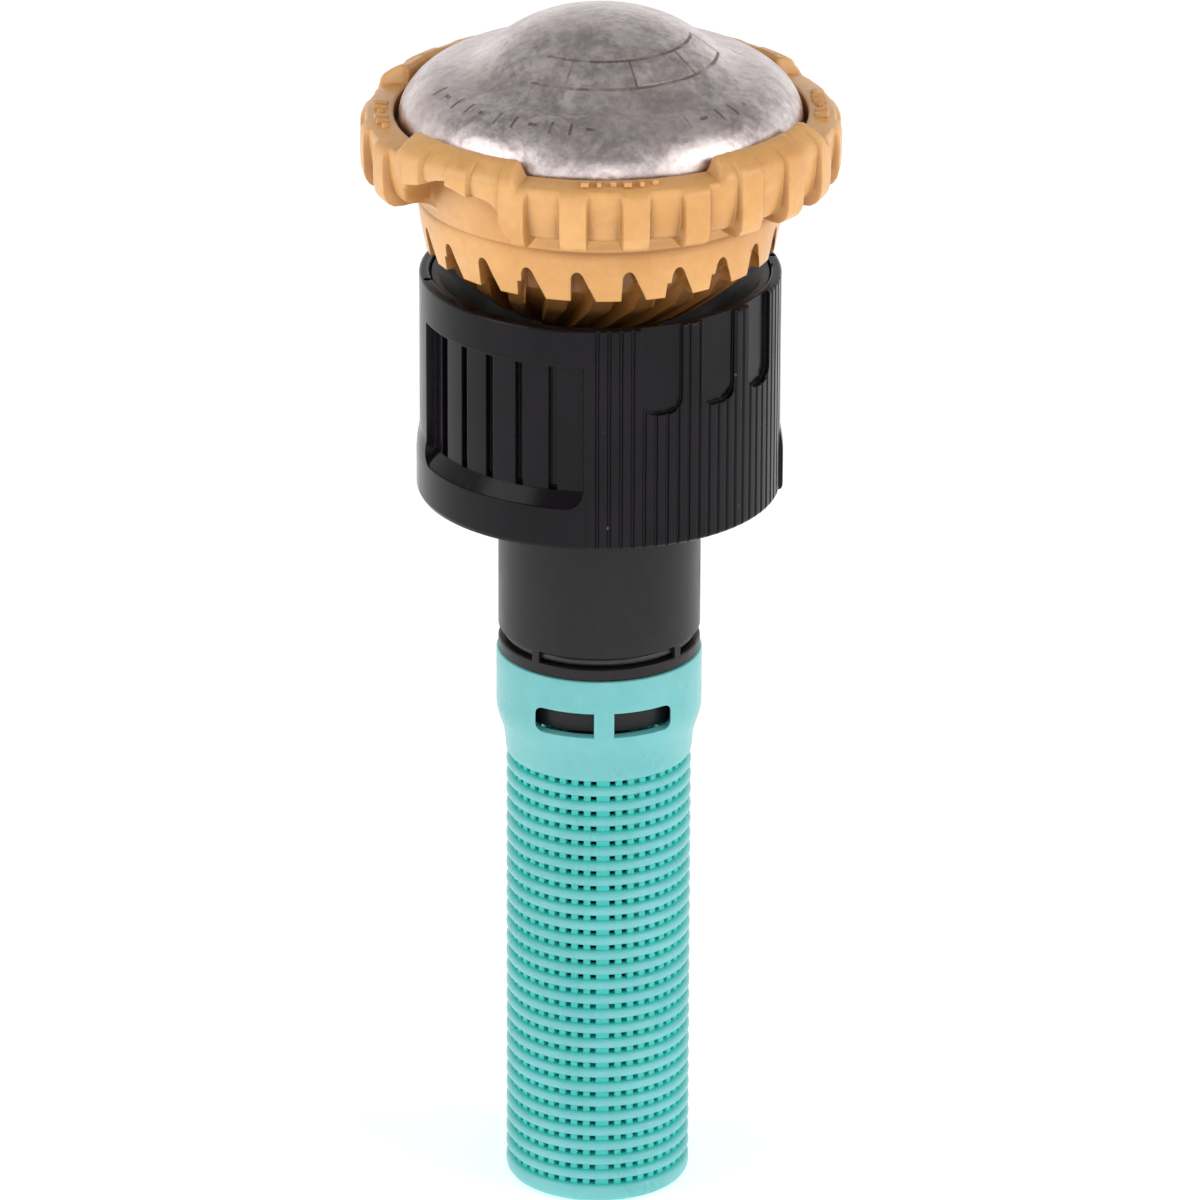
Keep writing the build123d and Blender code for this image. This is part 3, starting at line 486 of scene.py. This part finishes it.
def screen():
    rows, grooves = screen_rows()
    window_edges = [window_heading(x) for x in (WINDOW_X[0], 2.0, 3.2, WINDOW_X[1] - WINDOW_CORNER,
                                                WINDOW_X[1] - WINDOW_CORNER / 2, WINDOW_X[1])]
    marks, holes = set(), []
    for half in (0.0, 180.0):
        for column in range(HOLE_COLUMNS):
            middle = half + FIRST_HOLE + HOLE_PITCH * column
            holes.append(middle)
            marks.update((middle - HOLE_HALF_ARC, middle + HOLE_HALF_ARC, middle + HOLE_PITCH / 2))
        marks.update(half + a for a in (-SEAM_HALF_ARC, 0.0, SEAM_HALF_ARC))
        marks.update(half + side * a for side in (-1, 1) for a in window_edges)
    columns = []
    for mark in sorted(round(m % 360.0, 4) for m in marks):
        if not columns or mark - columns[-1] > CLOSE:
            columns.append(mark)
    n = len(columns)

    verts = []
    for sheet in (0, 1):
        for row in rows:
            r, z = row[2 * sheet], row[2 * sheet + 1]
            for offset in columns:
                side = wrapped(offset * 2.0) / 2.0
                moved, height = side, z
                if WINDOW_Z[0] - NEAR < z < WINDOW_Z[1] + NEAR:
                    moved, height = window_corner(side, z)
                    moved = parallel(moved, r)
                x, y = heading_xy(r, SEAM + offset + moved - side)
                verts.append((x, y, height))
    bottom_out, bottom_in = len(verts), len(verts) + 1
    verts += [(0.0, 0.0, rows[-1][1]), (0.0, 0.0, rows[-1][3])]

    def at(sheet, j, i):
        return (sheet * len(rows) + j) * n + i % n

    groove_rows = set(grooves)
    window_rows = [j for j, row in enumerate(rows[:-1])
                   if WINDOW_Z[0] < (row[1] + rows[j + 1][1]) / 2 < WINDOW_Z[1]]

    def is_open(j, i):
        a, b = columns[i % n], columns[(i + 1) % n]
        middle = (a + ((b - a) % 360.0) / 2) % 360.0
        if j in groove_rows:
            return any(abs(wrapped(middle - h)) < HOLE_HALF_ARC for h in holes)
        if j in window_rows:
            side = abs(wrapped(middle))
            side = min(side, 180.0 - side)
            return window_edges[0] < side < window_edges[-1]
        return False

    gaps = [[is_open(j, i) for i in range(n)] for j in range(len(rows) - 1)]
    faces = []
    for j in range(len(rows) - 1):
        for i in range(n):
            if gaps[j][i]:
                for (ja, ia), (jb, ib), beyond in (
                    ((j, i), (j, i + 1), j > 0 and gaps[j - 1][i]),
                    ((j + 1, i + 1), (j + 1, i), gaps[j + 1][i]),
                    ((j + 1, i), (j, i), gaps[j][i - 1]),
                    ((j, i + 1), (j + 1, i + 1), gaps[j][(i + 1) % n]),
                ):
                    if not beyond:
                        faces.append((at(0, ja, ia), at(0, jb, ib), at(1, jb, ib), at(1, ja, ia)))
                continue
            faces.append((at(0, j, i), at(0, j + 1, i), at(0, j + 1, i + 1), at(0, j, i + 1)))
            faces.append((at(1, j, i), at(1, j, i + 1), at(1, j + 1, i + 1), at(1, j + 1, i)))
    last = len(rows) - 1
    for i in range(n):
        faces.append((at(0, 0, i), at(0, 0, i + 1), at(1, 0, i + 1), at(1, 0, i)))
        faces.append((at(0, last, i), bottom_out, at(0, last, i + 1)))
        faces.append((at(1, last, i), at(1, last, i + 1), bottom_in))
    obj = mesh_object("filter_screen_detail", verts, faces, TEAL, "base", sharp=50.0)
    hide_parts("filter_screen")


# ---------------------------------------------------------------- deflector

OUTLETS = 22
OUTLET_HEADING = -5.5
OUTLET_STEP = 360.0 / OUTLETS
COLUMNS_PER_OUTLET = 48
PATTERN = 11               # outlets before the steps repeat
STEPPED_OUTLETS = (2, 3, 6, 8, 10)   # of each pattern, those with a step in their left edge
STEP_Z = 19.3
SKIRT_FROM = 10.9          # outside this the underside follows the outlets' edges
SKIRT_TIP = 18.2
WALL_TOP = 20.8
LUG_R = 13.05
LUG_ARC = (3.2, 3.7)       # degrees either side of a lug's middle where it fades into the wall
RIBS = 24
RIB_HEADING = -21.6
RIB_HALF_ARC = 3.5
RIB_SIDE = (0.45, 0.35)    # how far a rib's side reaches inside and outside that
RAISED_SECTORS = 4
RAISED_HEADING = -40.2
RAISED_FROM = 12           # the first point of the section that rises in a raised sector
RAISED_ARC = (17.5, 20.0)  # degrees either side of a raised sector's middle where it comes down
CUTAWAYS = 2
CUTAWAY_HEADING = -41.0
FACE_TEETH = 24
TOOTH_ROOT = 13.4
TOOTH_H = 0.9

# the ring's section from the underside, round its outside and over the top, between its ribs
RING_FLAT = (
    (12.95, 22.60), (13.20, 23.05), (13.70, 23.40), (14.40, 23.62), (15.00, 23.72), (15.45, 23.84),
    (15.70, 24.05), (15.90, 24.42), (16.05, 24.92), (16.17, 25.50), (16.26, 26.15), (16.31, 26.80),
    (16.32, 27.18), (16.27, 27.41), (16.13, 27.57), (15.80, 27.66), (15.20, 27.75), (14.70, 27.83),
    (14.45, 27.84), (14.34, 27.76), (14.30, 27.60), (14.30, 26.90),
)
# the same section through a rib
RING_RIB = (
    (12.95, 22.60), (13.20, 23.00), (13.70, 23.20), (14.40, 23.20), (15.10, 23.14), (15.80, 23.18),
    (16.22, 23.42), (16.50, 23.82), (16.63, 24.35), (16.67, 25.10), (16.68, 26.00), (16.67, 26.75),
    (16.61, 27.10), (16.48, 27.32), (16.22, 27.52), (15.80, 27.64),
) + RING_FLAT[16:]
# the top of the section where the ring is raised
RAISED_FLAT = (
    (16.37, 27.35), (16.30, 27.72), (16.12, 28.02), (15.72, 28.38), (15.30, 28.70), (14.98, 28.90),
    (14.64, 28.92), (14.40, 28.76), (14.30, 28.50), (14.30, 27.20),
)
RAISED_RIB = (
    (16.66, 27.55), (16.56, 27.92), (16.34, 28.20), (15.88, 28.52), (15.40, 28.80), (15.02, 28.96),
    (14.66, 28.96), (14.41, 28.78), (14.30, 28.50), (14.30, 27.20),
)
# height of the cut away lower edge against heading from the cutaway's middle
CUTAWAY_EDGE = (
    (-19.6, 21.5), (-17.8, 23.6), (-16.4, 24.9), (-14.6, 25.62), (-9.0, 26.02), (-4.0, 26.58),
    (-0.7, 26.78), (3.3, 26.62), (7.5, 26.27), (11.3, 26.08), (13.5, 25.85), (15.4, 25.3),
    (16.8, 24.6), (18.7, 23.7), (20.2, 22.4), (21.0, 21.5),
)
# outside of the body that shows where the ring is cut away
BODY_CONE = ((12.95, 22.6), (13.12, 23.8), (13.30, 25.0), (13.70, 25.80), (14.40, 26.00), (15.0, 26.45))
BODY_ROWS = 5              # points of the section that lie on that body
# how far each point of the section stays above the cut away edge
CUTAWAY_ROUND = (None, None, 0.0, 0.0, 0.0, 0.0, 0.0, 0.04, 0.13, 0.24, 0.34, 0.44, 0.54)
# an outlet's edge: height against place across it, in fractions of the outlets' spacing
OUTLET_EDGE = (
    (-0.25, SKIRT_TIP), (-0.23, 20.0), (-0.19, 20.32), (-0.125, 20.45), (-0.06, 20.40), (0.0, 20.15),
    (0.11, 19.25), (0.235, 18.30), (0.25, SKIRT_TIP),
)
VANE_LEFT = ((4.6, -38.0), (7.0, -22.0), (9.5, -11.0), (11.4, -4.09))
VANE_RIGHT = ((4.6, -29.5), (7.0, -12.0), (9.5, -1.6), (11.4, 4.09))
VANE_TIP = ((4.35, 12.8), (8.0, 14.75), (12.0, SKIRT_TIP))
CHANNEL_ROOF = ((4.6, 13.0), (8.0, 15.9), (12.2, 19.7))
SKIRT_WALL = ((SKIRT_TIP, 12.15), (20.0, 12.5), (21.82, 12.75))


def ring_point(row, heading):
    """A point of the ring's section at a heading, with its ribs, raised sectors and cutaways."""
    from_rib = abs(wrapped((heading - RIB_HEADING) * RIBS) / RIBS)
    rib = 1.0 - smooth(from_rib, RIB_HALF_ARC - RIB_SIDE[0], RIB_HALF_ARC + RIB_SIDE[1])
    from_raised = abs(wrapped((heading - RAISED_HEADING) * RAISED_SECTORS) / RAISED_SECTORS)
    raised = 1.0 - smooth(from_raised, *RAISED_ARC)
    flat, ribbed = RING_FLAT[row], RING_RIB[row]
    r = flat[0] + (ribbed[0] - flat[0]) * rib
    z = flat[1] + (ribbed[1] - flat[1]) * rib
    if row >= RAISED_FROM:
        high, high_rib = RAISED_FLAT[row - RAISED_FROM], RAISED_RIB[row - RAISED_FROM]
        r += (high[0] + (high_rib[0] - high[0]) * rib - r) * raised
        z += (high[1] + (high_rib[1] - high[1]) * rib - z) * raised
    if row < len(CUTAWAY_ROUND) and CUTAWAY_ROUND[row] is not None:
        from_middle = wrapped((heading - CUTAWAY_HEADING) * CUTAWAYS) / CUTAWAYS
        edge = table(CUTAWAY_EDGE, from_middle)
        if row < BODY_ROWS:
            edge = min(edge, table(BODY_CONE, r))
        z = max(z, edge + CUTAWAY_ROUND[row])
    return r, z


def outlet_edge(place, stepped):
    """Height of the skirt's lower edge at a place across an outlet."""
    z = table(OUTLET_EDGE, place)
    if stepped and -0.35 < place < -0.24:
        z = max(z, STEP_Z)
    return z


def deflector():
    columns = OUTLETS * COLUMNS_PER_OUTLET
    plan = []
    for c in range(columns):
        outlet, step = divmod(c, COLUMNS_PER_OUTLET)
        place = step / COLUMNS_PER_OUTLET - 0.5
        plan.append((outlet, place, OUTLET_HEADING + outlet * OUTLET_STEP + place * OUTLET_STEP))

    def plain(r, z):
        return [(r, z, heading) for _, _, heading in plan]

    def teeth(r):
        row = []
        for _, _, heading in plan:
            saw = abs(((heading * FACE_TEETH / 360.0) % 1.0) - 0.5) * 2.0
            row.append((r, TOOTH_ROOT - TOOTH_H * saw, heading))
        return row

    def underside(r):
        left, right = table(VANE_LEFT, r), table(VANE_RIGHT, r)
        row = []
        for outlet, place, _ in plan:
            between = OUTLET_STEP - (right - left)
            if place > 0.25:
                turn = right + between * (place - 0.25) * 2.0
            elif place < -0.25:
                turn = left + between * (place + 0.25) * 2.0
            else:
                turn = left + (right - left) * (place + 0.25) * 2.0
            z = table(VANE_TIP, r)
            if abs(place) < 0.245:
                z = table(CHANNEL_ROOF, r)
            if r > SKIRT_FROM:
                stepped = outlet % PATTERN in STEPPED_OUTLETS
                z = max(z, outlet_edge(place, stepped))
            row.append((r, z, OUTLET_HEADING + outlet * OUTLET_STEP + turn))
        return row

    def wall(share):
        row = []
        for outlet, place, heading in plan:
            edge = outlet_edge(place, outlet % PATTERN in STEPPED_OUTLETS)
            z = edge + (WALL_TOP - edge) * share
            row.append((table(SKIRT_WALL, z), z, heading))
        return row

    def lug(r, z):
        row = []
        for _, _, heading in plan:
            side = min(abs(wrapped(heading - 90.0)), abs(wrapped(heading + 90.0)))
            row.append((r + (LUG_R - r) * (1.0 - smooth(side, *LUG_ARC)), z, heading))
        return row

    rows = [plain(1.05, 17.2), plain(1.05, 12.6), plain(3.2, 12.6), teeth(3.22), teeth(4.33)]
    rows += [plain(4.35, 12.8)]
    rows += [underside(r) for r in (4.7, 5.6, 6.5, 7.4, 8.2, 9.0, 9.8, 10.6, 11.1, 11.5, 12.0)]
    rows += [wall(share) for share in (0.0, 0.06, 0.35, 0.68, 1.0)]
    rows += [plain(12.66, 21.2), lug(12.67, 21.26), lug(12.74, 21.74), lug(12.72, 21.82), lug(12.70, 21.96)]
    rows += [lug(12.82, 22.06), lug(12.88, 22.3)]
    for row in range(len(RING_FLAT)):
        rows.append([(*ring_point(row, heading), heading) for _, _, heading in plan])
    rows += [plain(14.3, 26.2), plain(10.2, 26.2), plain(10.2, 18.6), plain(2.2, 18.6), plain(2.2, 17.2)]
    verts = []
    for row in rows:
        for r, z, heading in row:
            verts.append((*heading_xy(r, heading), z))
    faces = []
    for j in range(len(rows)):
        below, above = j * columns, ((j + 1) % len(rows)) * columns
        for i in range(columns):
            k = (i + 1) % columns
            faces.append((below + i, below + k, above + k, above + i))
    obj = mesh_object("deflector_detail", verts, faces, TAN, "rotor", sharp=32.0)
    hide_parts("deflector")


MARKS = 6
FIRST_MARK = -4.0
MARK_STEP = 3.6
MARK_R = 15.25
MARK_Z = 27.86
MARK_HEIGHT = 0.34
MARK_TILT = math.radians(-8.0)
MARK_EDGE = 0.07
MARK_SIZES = ((0.55, 0.95), (0.30, 0.95), (0.42, 0.42))


def ring_marks():
    """Plain raised strokes and squares on the ring's low sectors."""
    bm = bmesh.new()
    for sector in range(RAISED_SECTORS):
        for mark in range(MARKS):
            heading = 360.0 / RAISED_SECTORS * sector + FIRST_MARK + MARK_STEP * mark
            width, depth = MARK_SIZES[mark % 3]
            made = bmesh.ops.create_cube(bm, size=1.0)["verts"]
            x, y = heading_xy(MARK_R, heading)
            place = Matrix.Translation((x, y, MARK_Z)) @ Matrix.Rotation(math.radians(heading), 4, "Z")
            tilt = Matrix.Rotation(MARK_TILT, 4, "X")
            size = Matrix.Diagonal((width, depth, MARK_HEIGHT, 1.0))
            bmesh.ops.transform(bm, matrix=place @ tilt @ size, verts=made)
    bmesh.ops.bevel(bm, geom=list(bm.edges), offset=MARK_EDGE, segments=3, profile=0.6, affect="EDGES")
    bmesh.ops.scale(bm, vec=(MM, MM, MM), verts=bm.verts)
    data = bpy.data.meshes.new("ring_marks")
    bm.to_mesh(data)
    bm.free()
    data.polygons.foreach_set("use_smooth", [True] * len(data.polygons))
    data.set_sharp_from_angle(angle=math.radians(40.0))
    data.materials.append(TAN_MARKS)
    obj = bpy.data.objects.new("ring_marks", data)
    bpy.context.scene.collection.objects.link(obj)
    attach(obj, "rotor")


# ---------------------------------------------------------------- floor, light, camera

# lengths in metres from here on
FLOOR_GAP = 0.00005
FLOOR_REACH = 6.0
FLOOR_GLOW = 0.47


def floor():
    bm = bmesh.new()
    bmesh.ops.create_grid(bm, x_segments=8, y_segments=8, size=FLOOR_REACH)
    data = bpy.data.meshes.new("floor")
    bm.to_mesh(data)
    bm.free()
    obj = bpy.data.objects.new("floor", data)
    obj.location = (0, 0, CAD_LOW[2] - FLOOR_GAP)
    bpy.context.scene.collection.objects.link(obj)
    m = Nodes("floor_paper")
    grain = m.noise(300, 3.0)
    m.put(m.bsdf.inputs["Base Color"], m.mix(grain, (0.90, 0.90, 0.90), (0.93, 0.93, 0.93)))
    m.bsdf.inputs["Roughness"].default_value = 0.9
    m.bsdf.inputs["Specular IOR Level"].default_value = 0.1
    m.bsdf.inputs["Emission Color"].default_value = (1.0, 1.0, 1.0, 1.0)
    m.bsdf.inputs["Emission Strength"].default_value = FLOOR_GLOW
    data.materials.append(m.mat)


def softbox(name, place, target, width, height, power):
    light = bpy.data.lights.new(name, "AREA")
    light.shape = "RECTANGLE"
    light.size, light.size_y = width, height
    light.energy = power
    obj = bpy.data.objects.new(name, light)
    obj.location = place
    obj.rotation_euler = (Vector(target) - Vector(place)).to_track_quat("-Z", "Y").to_euler()
    bpy.context.scene.collection.objects.link(obj)


SKY_RISE = (0.05, 0.62)    # height of the view direction over which the sky dims
SKY_STRENGTH = (1.22, 0.34)
LIGHT_AIM_Z = -0.005


def studio():
    world = bpy.data.worlds.new("studio")
    bpy.context.scene.world = world
    world.use_nodes = True
    tree = world.node_tree
    background = tree.nodes["Background"]
    coordinates = tree.nodes.new("ShaderNodeTexCoord")
    split = tree.nodes.new("ShaderNodeSeparateXYZ")
    tree.links.new(coordinates.outputs["Generated"], split.inputs[0])
    height = tree.nodes.new("ShaderNodeMapRange")
    height.inputs["From Min"].default_value = SKY_RISE[0]
    height.inputs["From Max"].default_value = SKY_RISE[1]
    height.inputs["To Min"].default_value = SKY_STRENGTH[0]
    height.inputs["To Max"].default_value = SKY_STRENGTH[1]
    tree.links.new(split.outputs[2], height.inputs["Value"])
    background.inputs["Color"].default_value = (1.0, 1.0, 1.0, 1.0)
    tree.links.new(height.outputs["Result"], background.inputs["Strength"])
    middle = (0, 0, LIGHT_AIM_Z)
    softbox("left", (-0.51, -0.20, 0.31), middle, 0.34, 0.42, 0.95)
    softbox("right", (0.51, -0.22, 0.31), middle, 0.36, 0.42, 1.20)
    softbox("front", (0.10, -0.95, 0.42), middle, 0.70, 0.50, 0.85)


CAMERA_RANGE = 0.700       # from the camera to the origin
CAMERA_RISE = math.radians(21.7)
LENS = 299.7
AIM_X = 0.00005
AIM_Z = -0.0088
ROLL = math.radians(0.2)


def camera():
    data = bpy.data.cameras.new("camera")
    data.sensor_width = 36.0
    data.lens = LENS
    data.clip_start, data.clip_end = 0.05, 30.0
    obj = bpy.data.objects.new("camera", data)
    place = Vector((0, -CAMERA_RANGE * math.cos(CAMERA_RISE), CAMERA_RANGE * math.sin(CAMERA_RISE)))
    obj.location = place
    look = (Vector((AIM_X, 0, AIM_Z)) - place).to_track_quat("-Z", "Y")
    obj.rotation_mode = "QUATERNION"
    obj.rotation_quaternion = look @ Quaternion((0, 0, 1), ROLL)
    bpy.context.scene.collection.objects.link(obj)
    bpy.context.scene.camera = obj


screen()
deflector()
ring_marks()
floor()
studio()
camera()
bpy.context.scene.view_settings.view_transform = "Standard"
